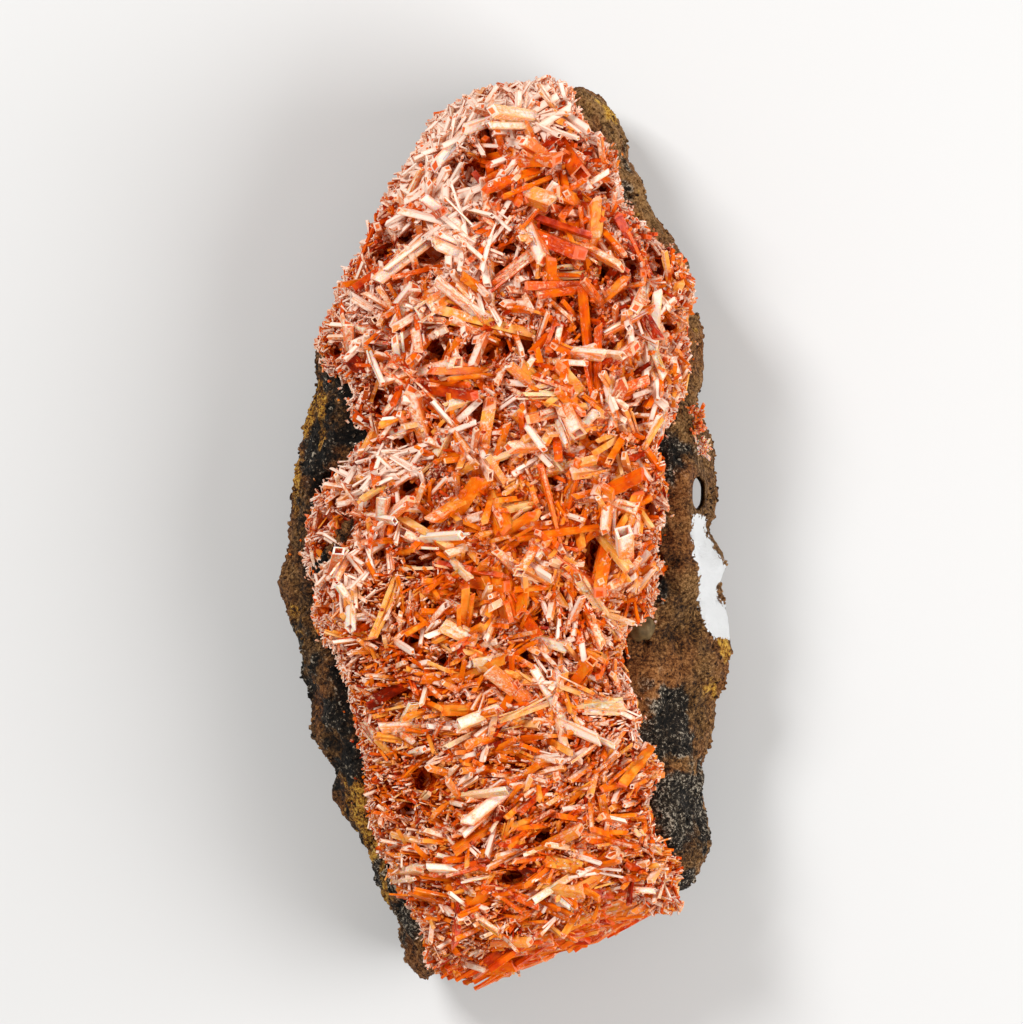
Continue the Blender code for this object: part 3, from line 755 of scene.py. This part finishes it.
def make_nodule(rock, material):
    """The smooth nodule in the right wall."""
    centre = highest_point(mesh_tree(rock.data), *NODULE_CENTRE)
    mesh = bmesh.new()
    bmesh.ops.create_icosphere(mesh, subdivisions=4, radius=0.5)
    for vertex in mesh.verts:
        swell = 1 + 0.12 * noise.noise(vertex.co * 4)
        vertex.co = (centre + Vector([c * s * swell for c, s in zip(vertex.co, NODULE_SIZE)])) * MM
    data = bpy.data.meshes.new("smooth_nodule")
    mesh.to_mesh(data)
    return place_piece("smooth_nodule", data, material, True)


def make_bed(bed, material):
    """The mass between the crystals, closed below, dark with painted shade."""
    mesh = bmesh.new()
    corners = {}
    cells = np.argwhere(bed.inside)
    flat = bed.map.low + cells * GRID
    drops = BED_DEPTH + bed.void_depth(flat) + LOW_RIM_DROP * low_rim_share(flat)
    for (i, j), (x, y), drop in zip(cells, flat, drops):
        z = bed.top[i, j] - drop + 0.9 * noise.noise(Vector((x, y, 0)) / 2.2)
        corners[i, j] = mesh.verts.new((x * MM, y * MM, max(z, BED_LOWEST) * MM))
    for i, j in corners:
        square = [corners.get(key) for key in ((i, j), (i + 1, j), (i + 1, j + 1), (i, j + 1))]
        if all(square):
            mesh.faces.new(square)
    loose = [vertex for vertex in mesh.verts if not vertex.link_faces]
    bmesh.ops.delete(mesh, geom=loose, context="VERTS")
    made = bmesh.ops.extrude_face_region(mesh, geom=list(mesh.faces), use_keep_orig=True)
    for vertex in (item for item in made["geom"] if isinstance(item, bmesh.types.BMVert)):
        vertex.co.z = BED_FLOOR * MM
    for face in (item for item in made["geom"] if isinstance(item, bmesh.types.BMFace)):
        face.normal_flip()
    bmesh.ops.recalc_face_normals(mesh, faces=mesh.faces)
    data = bpy.data.meshes.new("crystal_bed")
    mesh.to_mesh(data)
    return place_piece("crystal_bed", data, material, True, ["crocoite_crystals"])


def side_places(dice, bed_piece, rock):
    """Random places on the steep sides of the bed that no rock covers, with the way each side faces."""
    rock_tree = mesh_tree(rock.data)
    corners = mesh_points(bed_piece.data)
    steep = [side for side in bed_piece.data.polygons if abs(side.normal.z) < 0.5]
    steep.sort(key=lambda side: side.center.to_tuple(6))  # they come in another order in each run
    areas = np.array([side.area for side in steep])
    places, faces = [], []
    for number in dice.choice(len(steep), SIDE_COUNT, p=areas / areas.sum()):
        side = steep[number]
        heights = corners[list(side.vertices), 2]
        normal = Vector(side.normal)
        place = Vector(side.center) / MM + normal.cross((0, 0, 1)) * dice.uniform(-0.5, 0.5)
        place.z = dice.uniform(heights.min(), heights.max())
        if rock_tree.ray_cast(place + normal * 0.4, normal, 6.0)[0] is None:
            places.append(place)
            faces.append(normal)
    return np.array(places), np.array(faces)


def make_side_crystals(bed, bed_piece, rock, material):
    """Crystals that close the open sides of the mass, lying mostly along them."""
    dice = np.random.default_rng(60)
    places, faces = side_places(dice, bed_piece, rock)
    total = len(places)
    low_end = (places[:, 1] < -78) & (faces[:, 1] < -0.5)
    lengths = dice.uniform(2.5, 8.0, total) * np.where(low_end, 1.8, 1.0)
    spread = np.where(low_end, 0.15, 0.9)
    turn = (dice.normal(0, spread) + np.pi * dice.integers(0, 2, total))[:, None]
    level = unit(np.cross(faces, (0.0, 0.0, 1.0)))
    heading = np.cos(turn) * level + np.sin(turn) * np.cross(level, faces)
    outward = dice.uniform(0.0, 0.8, total) * np.where(places[:, 1] < -76, 0.2, 1.0)
    heading = unit(heading + faces * (outward / lengths)[:, None])
    starts = places - heading * (0.4 * lengths)[:, None] - faces * 0.9
    ends = places + heading * (0.6 * lengths)[:, None] - faces * 0.3
    inside = (starts[:, 2] > SIDE_LOWEST) & (ends[:, 2] > SIDE_LOWEST) & (ends[:, 2] < HIGHEST)
    inside &= bed.holds(starts) & bed.holds(ends)
    tones, frosts = tone_and_frost(dice, places)
    columns = starts, ends, dice.uniform(0.7, 1.9, total), tones, frosts
    chosen = [column[inside] for column in columns]
    crystals = Crystals(dice)
    crystals.add(*chosen, "bevelled")
    crystals.add(*bundles(dice, *chosen, 2, main=False), "plain")
    crystals.make("side_crystals", material)


def make_crumbs(bed, rock, material):
    """Broken bits of crystal strewn on the rock beside the mass."""
    dice = np.random.default_rng(62)
    places = surface_places(dice, rock.data, CRUMB_COUNT, 20.0)
    beside = bed.holds(places + dice.normal(0, 1.2, places.shape)) & ~bed.holds(places)
    places = places[beside]
    total = len(places)
    heading = unit(dice.normal(0, 1, (total, 3)))
    heading[:, 2] = np.abs(heading[:, 2])
    ends = places + heading * dice.uniform(0.2, 1.0, total)[:, None]
    tones, frosts = tone_and_frost(dice, places)
    crystals = Crystals(dice)
    crystals.add(places - heading * 0.3, ends, dice.uniform(0.25, 0.6, total), tones, frosts, "plain")
    crystals.make("strewn_bits", material)


def make_low_rim(bed, material):
    """The long, clean, red-orange crystals that lie along the low end."""
    dice = np.random.default_rng(61)
    outward = dice.uniform(-0.5, 0.16, LOW_RIM_COUNT)[:, None] * LOW_RIM_WIDTH - 1.0
    along = dice.uniform(0, 1, LOW_RIM_COUNT)[:, None] * (LOW_RIM_END - LOW_RIM_START) * 0.95
    flat = LOW_RIM_START + along + LOW_RIM_OUTWARD * outward
    heights = bed.height(flat) - 0.6 - LOW_RIM_DROP * low_rim_share(flat)
    places = np.column_stack((flat, heights))
    turn = np.arctan2(LOW_RIM_ALONG[1], LOW_RIM_ALONG[0]) + dice.normal(0, 0.16, LOW_RIM_COUNT)
    heading = unit(np.column_stack((np.cos(turn), np.sin(turn), dice.normal(0.03, 0.08, LOW_RIM_COUNT))))
    reach = heading * dice.uniform(8, 18, LOW_RIM_COUNT)[:, None] * 0.5
    starts, ends = places - reach, places + reach
    kept = bed.holds(ends, 1) & bed.holds(starts, 1.5)
    widths = dice.uniform(1.4, 3.4, LOW_RIM_COUNT)
    frosts = dice.uniform(0.0, 0.35, LOW_RIM_COUNT) + 0.4 * soft_step(flat[:, 0], 26, 3)
    # Their tone is raised towards a lighter orange as painted light, against the shade on this side.
    tones = dice.uniform(0.32, 0.52, LOW_RIM_COUNT)
    crystals = Crystals(dice)
    chosen = [column[kept] for column in (starts, ends, widths, tones, frosts)]
    crystals.add(*bundles(dice, *chosen, 3), "bevelled")
    crystals.make("low_rim_crystals", material)


def make_rim_patch(dice, material):
    """The few crystals that sit alone on the right rim."""
    tree = solid_tree("rim_crystals")
    crystals = Crystals(dice)
    for centre, size, count, frost in RIM_CLUSTERS:
        starts = []
        for x, y in centre + dice.uniform(-0.5, 0.5, (count, 2)) * size:
            point = highest_point(tree, x, y)
            starts.append((x, y, min(point.z, 32.5) - 0.5 if point else 31.0))
        starts = np.array(starts)
        heading = unit(dice.normal(0, 1, (count, 3)) + (0, 0, 0.9))
        heading[:, 2] = np.abs(heading[:, 2])
        ends = starts + heading * dice.uniform(0.9, 2.2, count)[:, None]
        widths = dice.uniform(0.4, 0.9, count)
        tones = dice.uniform(0.35, 0.6, count)
        crystals.add(starts, ends, widths, tones, frost + dice.uniform(-0.3, 0.3, count), "bevelled")
    crystals.make("rim_patch", material, ["rim_crystals"])


def make_crystals(bed, material, splinter_material):
    """Every kind of crystal, each kind as one piece."""
    for number, (name, kind) in enumerate(CRYSTAL_KINDS.items()):
        dice = np.random.default_rng(20 + number)
        crystals = Crystals(dice, bed)
        grow_kind(crystals, bed, dice, kind)
        crystals.make(f"{name}_crystals", material if kind.members > 2 else splinter_material)
    dice = np.random.default_rng(40)
    showy = Crystals(dice)
    add_showy(showy, bed, dice)
    showy.make("showy_crystals", material)
    make_rim_patch(dice, material)


class Nodes:
    """Short ways to add and join the nodes of one material."""

    def __init__(self, name):
        self.material = bpy.data.materials.new(name)
        self.material.use_nodes = True
        self.tree = self.material.node_tree
        self.shader = self.tree.nodes["Principled BSDF"]

    def put(self, node, socket, value):
        """Links an output to a node's socket, or sets the socket to a constant."""
        if isinstance(value, bpy.types.NodeSocket):
            self.tree.links.new(value, node.inputs[socket])
        else:
            node.inputs[socket].default_value = value

    def fill(self, node, inputs):
        for name, value in inputs.items():
            self.put(node, name.replace("_", " "), value)

    def surface(self, **inputs):
        """What the surface is like, by the names of the shader's sockets."""
        self.fill(self.shader, inputs)

    def add(self, kind, **inputs):
        node = self.tree.nodes.new(kind)
        self.fill(node, inputs)
        return node

    def layer(self, name):
        """The channels of a colour layer on the mesh, and its fourth channel."""
        node = self.add("ShaderNodeAttribute")
        node.attribute_name = name
        split = self.add("ShaderNodeSeparateColor", Color=node.outputs["Color"])
        return *split.outputs, node.outputs["Alpha"]

    def coordinates(self, output="Object"):
        return self.add("ShaderNodeTexCoord").outputs[output]

    def noise(self, place, scale, detail=3.0, roughness=0.6):
        node = self.add("ShaderNodeTexNoise", Vector=place, Scale=scale, Detail=detail, Roughness=roughness)
        return node.outputs["Fac"]

    def math(self, operation, first, second):
        node = self.add("ShaderNodeMath")
        node.operation = operation
        self.put(node, 0, first)
        self.put(node, 1, second)
        return node.outputs["Value"]

    def times(self, first, second):
        return self.math("MULTIPLY", first, second)

    def plus(self, first, *others):
        for other in others:
            first = self.math("ADD", first, other)
        return first

    def rest(self, share, whole=1.0):
        """What is left of a whole when a share is taken away."""
        return self.math("SUBTRACT", whole, share)

    def between(self, value, low, high, low_out=0.0, high_out=1.0):
        """The value mapped smoothly from one range to another."""
        node = self.add("ShaderNodeMapRange", Value=value, From_Min=low, From_Max=high, To_Min=low_out,
                        To_Max=high_out)
        node.interpolation_type = "SMOOTHSTEP"
        return node.outputs["Result"]

    def ramp(self, value, *stops):
        """Colours along a value, each stop with its place and its colour."""
        node = self.add("ShaderNodeValToRGB", Fac=value)
        elements = node.color_ramp.elements
        while len(elements) < len(stops):
            elements.new(0.5)
        for element, (place, colour) in zip(elements, stops):
            element.position = place
            element.color = (*colour, 1)
        return node.outputs["Color"]

    def mix(self, share, first, second):
        """The first colour with a share of the second one over it."""
        node = self.add("ShaderNodeMix")
        node.data_type = "RGBA"
        for socket, value in ((0, share), (6, first), (7, second)):
            self.put(node, socket, (*value, 1) if isinstance(value, tuple) else value)
        return node.outputs[2]

    def bump(self, height, strength, distance):
        node = self.add("ShaderNodeBump", Height=height, Strength=strength, Distance=distance)
        self.surface(Normal=node.outputs["Normal"])


class CrystalLook(NamedTuple):
    """How one group of crystals looks different from another."""

    glow: float  # how much light scatters below the surface
    shine: float
    clear_edge: float  # how much thinner the frost is along the edges
    root_shade: float  # how much painted shade the roots get: less frost and a darker red
    end_share: float  # how red the cut ends are


LARGE_LOOK = CrystalLook(glow=0.5, shine=0.15, clear_edge=0.7, root_shade=0.3, end_share=0.6)
SPLINTER_LOOK = CrystalLook(glow=0.0, shine=0.04, clear_edge=0.4, root_shade=0.45, end_share=0.25)

LIT_FROST_SIDE = Vector((-0.45, 0.4, 0.8)).normalized()  # faces turned this way, towards the key light, get the most frost: real frost and painted highlight
THIN_FROST = (0.82, 0.52, 0.33)
THICK_FROST = (0.87, 0.76, 0.65)
VEILED_ORANGE = (0.92, 0.3, 0.09)
ROOT_SHADE_RED = (0.5, 0.045, 0.0005)
END_RED = (0.68, 0.065, 0.006)
# The bottoms of hollow ends are painted dark red: painted shade in the pit.
PIT_SHADE_RED = (0.4, 0.02, 0.002)
GLOW_REACH = (1.0, 0.35, 0.1)  # for red, green and blue light
PASSING_LIGHT = (1.0, 0.1, 0.0, 1)  # stands in for light that comes through from crystal to crystal
PASSING_LIGHT_STRENGTH = 0.03


def frost_cover(nodes, face, amount, frost, look):
    """How white each place on a crystal is. Its edges have less frost, and its ends have it at their rims."""
    across, climb, wide, kind = face
    edge = nodes.math("MINIMUM", across, nodes.rest(across, wide))
    end_edge = nodes.math("MINIMUM", edge, nodes.math("MINIMUM", climb, nodes.rest(climb, wide)))
    inner = nodes.between(nodes.math("DIVIDE", edge, wide), 0.0, 0.3, 1.0 - look.clear_edge, 1.0)
    cover = nodes.times(nodes.between(amount, 0.22, 0.72, 0.0, 0.97), inner)
    rim = nodes.between(kind, 0.7, 0.9)
    end = nodes.times(nodes.between(kind, 0.2, 0.4), nodes.rest(rim))
    end_rim = nodes.between(nodes.math("DIVIDE", end_edge, wide), 0.08, 0.2, 1.0, 0.0)
    end_cover = nodes.times(end_rim, nodes.between(frost, 0.1, 0.6, 0.1, 0.8))
    cover = nodes.plus(nodes.times(cover, nodes.rest(end)), nodes.times(end_cover, end))
    cover = nodes.math("MAXIMUM", cover, nodes.times(rim, nodes.between(frost, 0.0, 0.6, 0.35, 0.9)))
    return cover, end


def crystal_material(name, look):
    """Glossy orange crystal with pale, streaky frost that is partly painted highlight towards the key light."""
    nodes = Nodes(name)
    tone, frost, along, pit = nodes.layer("crystal")
    face = nodes.layer("face")
    grain = nodes.add("ShaderNodeCombineXYZ", X=nodes.times(face[0], 2.2), Y=nodes.times(face[1], 0.45),
                      Z=nodes.times(tone, 571.0))
    streaks = nodes.noise(grain.outputs["Vector"], 1.0, 2.0)
    place = nodes.coordinates()
    cloud = nodes.noise(place, 330.0, 2.0)
    fleck = nodes.noise(place, 950.0, 3.0, 0.7)
    colour = nodes.ramp(
        nodes.plus(tone, nodes.between(cloud, 0.3, 0.7, -0.12, 0.12)),
        (0.0, (0.12, 0.003, 0.001)), (0.18, (0.4, 0.018, 0.001)), (0.36, (0.68, 0.085, 0.002)),
        (0.55, (0.76, 0.165, 0.003)), (0.72, (0.8, 0.34, 0.05)), (1.0, (0.82, 0.62, 0.36)),
    )
    # Faces turned towards the key light get more frost: painted highlight over the real frost.
    facing = nodes.add("ShaderNodeVectorMath")
    facing.operation = "DOT_PRODUCT"
    nodes.put(facing, 0, nodes.coordinates("Normal"))
    nodes.put(facing, 1, LIT_FROST_SIDE)
    amount = nodes.plus(
        nodes.times(frost, nodes.between(facing.outputs["Value"], 0.0, 0.85, 0.25, 1.0)),
        nodes.between(frost, 0.9, MOST_FROST, 0.0, 0.4),
        nodes.between(streaks, 0.3, 0.7, -0.14, 0.14),
        nodes.between(fleck, 0.34, 0.66, -0.22, 0.22),
        nodes.between(cloud, 0.35, 0.65, 0.14, -0.14),
        # Less frost towards the roots is painted shade.
        nodes.between(along, 0.0, 0.45, -look.root_shade, 0.03),
    )
    cover, end = frost_cover(nodes, face, amount, frost, look)
    # Roots darken to deep red: painted shade.
    colour = nodes.mix(nodes.between(along, 0.0, 0.4, look.root_shade, 0.0), colour, ROOT_SHADE_RED)
    colour = nodes.mix(nodes.between(frost, 0.3, 0.9, 0.0, 0.4), colour, VEILED_ORANGE)
    colour = nodes.mix(nodes.times(end, look.end_share), colour, END_RED)
    white = nodes.mix(nodes.between(amount, 0.5, 1.1), THIN_FROST, THICK_FROST)
    nodes.surface(
        Base_Color=nodes.mix(pit, nodes.mix(cover, colour, white), PIT_SHADE_RED),
        Roughness=nodes.between(cover, 0.1, 0.9, 0.18, 0.5),
        IOR=1.52,
        Specular_IOR_Level=look.shine,
        Emission_Color=PASSING_LIGHT,
        Emission_Strength=PASSING_LIGHT_STRENGTH,
    )
    if look.glow:
        nodes.surface(Subsurface_Weight=look.glow, Subsurface_Radius=GLOW_REACH, Subsurface_Scale=2 * MM)
    crust = nodes.times(fleck, nodes.between(cover, 0.0, 1.0, 0.3, 1.2))
    nodes.bump(nodes.plus(nodes.times(streaks, 0.6), crust), 0.6, 0.4 * MM)
    return nodes.material


def bed_material():
    """Dark red-brown painted shade for the depth between crystals, speckled with broken orange bits."""
    nodes = Nodes("crystal_bed_shade")
    speckle = nodes.noise(nodes.coordinates(), 900.0, 4.0, 0.7)
    colour = nodes.ramp(speckle, (0.38, (0.2, 0.01, 0.0003)), (0.52, (0.5, 0.04, 0.0005)),
                        (0.64, (0.75, 0.13, 0.004)), (0.75, (0.85, 0.45, 0.2)))
    nodes.surface(Base_Color=colour, Roughness=0.7, Specular_IOR_Level=0.0)
    nodes.bump(speckle, 1.0, 1.2 * MM)
    return nodes.material


PAINT_WHITE = (0.93, 0.94, 0.95)


def rock_colour(nodes, level, blotch, broad, ochre, black):
    """Brown that leans to yellow or to red, under patches of black and of ochre with ragged edges."""
    # The darkest stop colours the grain's low parts, the hollows of its bump: dark pores and painted shade.
    hollow = (0.36, (0.006, 0.002, 0.0005))
    yellow_brown = nodes.ramp(level, hollow, (0.45, (0.08, 0.032, 0.007)), (0.54, (0.21, 0.095, 0.024)),
                              (0.66, (0.5, 0.27, 0.1)))
    red_brown = nodes.ramp(level, hollow, (0.45, (0.075, 0.022, 0.004)), (0.54, (0.22, 0.072, 0.014)),
                           (0.66, (0.46, 0.2, 0.06)))
    brown = nodes.mix(nodes.between(broad, 0.4, 0.6), yellow_brown, red_brown)
    # The black's palest stop makes light flecks that are partly painted glints.
    dark = nodes.ramp(level, (0.42, (0.001, 0.0008, 0.0005)), (0.51, (0.014, 0.008, 0.004)),
                      (0.58, (0.055, 0.035, 0.018)), (0.64, (0.55, 0.47, 0.36)))
    warm = nodes.ramp(level, (0.4, (0.02, 0.006, 0.001)), (0.5, (0.42, 0.15, 0.008)),
                      (0.6, (0.85, 0.5, 0.07)))
    dark_share = nodes.between(nodes.plus(black, nodes.between(blotch, 0.35, 0.65, -0.25, 0.25)), 0.25, 0.55)
    warm_share = nodes.between(nodes.plus(ochre, nodes.between(blotch, 0.65, 0.35, -0.3, 0.2)), 0.3, 0.6)
    return nodes.mix(warm_share, nodes.mix(dark_share, brown, dark), warm)


def rock_material():
    """Gossan: brown porous grain with black and ochre patches, and the bare white paint patch."""
    nodes = Nodes("gossan_rock")
    ochre, black, paint, tone = nodes.layer("rock")
    place = nodes.coordinates()
    grain = nodes.noise(place, 1300.0, 4.0, 0.8)
    blotch = nodes.noise(place, 130.0)
    # The tone channel holds real pale and dark patches and the relief's painted shade in pits and light on
    # ridges.
    level = nodes.plus(grain, nodes.between(tone, 0.2, 0.8, -0.1, 0.1))
    colour = rock_colour(nodes, level, blotch, nodes.noise(place, 55.0, 2.0), ochre, black)
    ragged = nodes.plus(paint, nodes.between(nodes.noise(place, 700.0, 2.0), 0.3, 0.7, -0.09, 0.09))
    nodes.surface(
        Base_Color=nodes.mix(nodes.between(ragged, 0.485, 0.52), colour, PAINT_WHITE),
        Roughness=nodes.between(grain, 0.3, 0.7, 0.95, 0.6),
        Specular_IOR_Level=0.25,
    )
    nodes.bump(nodes.plus(grain, nodes.times(blotch, 0.6)), 1.0, 1.2 * MM)
    return nodes.material


def nodule_material():
    """Smooth olive-brown."""
    nodes = Nodes("nodule_rock")
    cloud = nodes.noise(nodes.coordinates(), 500.0)
    colour = nodes.ramp(cloud, (0.3, (0.05, 0.028, 0.009)), (0.6, (0.13, 0.08, 0.03)),
                        (0.8, (0.22, 0.15, 0.06)))
    nodes.surface(Base_Color=colour, Roughness=0.6, Specular_IOR_Level=0.2)
    nodes.bump(cloud, 0.4, 0.3 * MM)
    return nodes.material


FLOOR_SIZE = 4.0  # in metres, as all of the studio is
FLOOR_GREY = (0.6, 0.6, 0.6, 1)
LIGHTS = {  # place, size and power
    "key_light": ((-0.6, 0.6, 1.05), 0.35, 13.5),
    "fill_light": ((0.9, -0.2, 0.8), 0.9, 15.5),
}
STUDIO_COLOUR = (1.0, 0.96, 0.9, 1)
STUDIO_STRENGTH = 0.4
SENSOR_WIDTH = 36.0


def make_floor():
    """A plain pale floor."""
    bpy.ops.mesh.primitive_plane_add(size=FLOOR_SIZE)
    floor = bpy.context.object
    floor.name = "floor"
    nodes = Nodes("pale_floor")
    nodes.surface(Base_Color=FLOOR_GREY, Roughness=0.8)
    floor.data.materials.append(nodes.material)


def make_light(name, place, size, power):
    """A soft square light aimed at the middle of the specimen."""
    data = bpy.data.lights.new(name, "AREA")
    data.size = size
    data.energy = power
    light = bpy.data.objects.new(name, data)
    light.location = place
    light.rotation_euler = (-Vector(place)).to_track_quat("-Z", "Y").to_euler()
    bpy.context.scene.collection.objects.link(light)


def make_studio():
    """The lights, and soft warm light from all around."""
    for name, (place, size, power) in LIGHTS.items():
        make_light(name, place, size, power)
    world = bpy.context.scene.world or bpy.data.worlds.new("studio")
    bpy.context.scene.world = world
    world.use_nodes = True
    background = world.node_tree.nodes["Background"]
    background.inputs["Color"].default_value = STUDIO_COLOUR
    background.inputs["Strength"].default_value = STUDIO_STRENGTH


def make_camera():
    """A long lens straight above, so that the frame takes in the same width as the photograph."""
    data = bpy.data.cameras.new("camera")
    data.sensor_width = SENSOR_WIDTH
    data.lens = SENSOR_WIDTH * (CAMERA_HEIGHT - VIEW_PLANE) / VIEW_WIDTH
    data.clip_start = 0.05
    camera = bpy.data.objects.new("camera", data)
    camera.location = (VIEW_CENTRE[0] * MM, VIEW_CENTRE[1] * MM, CAMERA_HEIGHT * MM)
    bpy.context.scene.collection.objects.link(camera)
    bpy.context.scene.camera = camera


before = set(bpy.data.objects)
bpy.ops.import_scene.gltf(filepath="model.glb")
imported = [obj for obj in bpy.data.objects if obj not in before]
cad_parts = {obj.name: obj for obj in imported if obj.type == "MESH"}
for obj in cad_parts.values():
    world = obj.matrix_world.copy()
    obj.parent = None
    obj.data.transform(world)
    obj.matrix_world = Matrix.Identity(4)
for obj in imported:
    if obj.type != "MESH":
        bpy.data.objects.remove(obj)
cad_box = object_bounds()
bpy.context.scene.view_settings.view_transform = "Standard"
bed = Bed(cad_box)
rock_look = rock_material()
crystal_look = crystal_material("crocoite_crystal", LARGE_LOOK)
rock = make_rock(rock_look)
make_grains(rock, bed, rock_look)
make_nodule(rock, nodule_material())
bed_piece = make_bed(bed, bed_material())
splinter_look = crystal_material("crocoite_splinter", SPLINTER_LOOK)
make_crystals(bed, crystal_look, splinter_look)
make_crumbs(bed, rock, splinter_look)
make_side_crystals(bed, bed_piece, rock, splinter_look)
make_low_rim(bed, crystal_look)
make_floor()
make_studio()
make_camera()
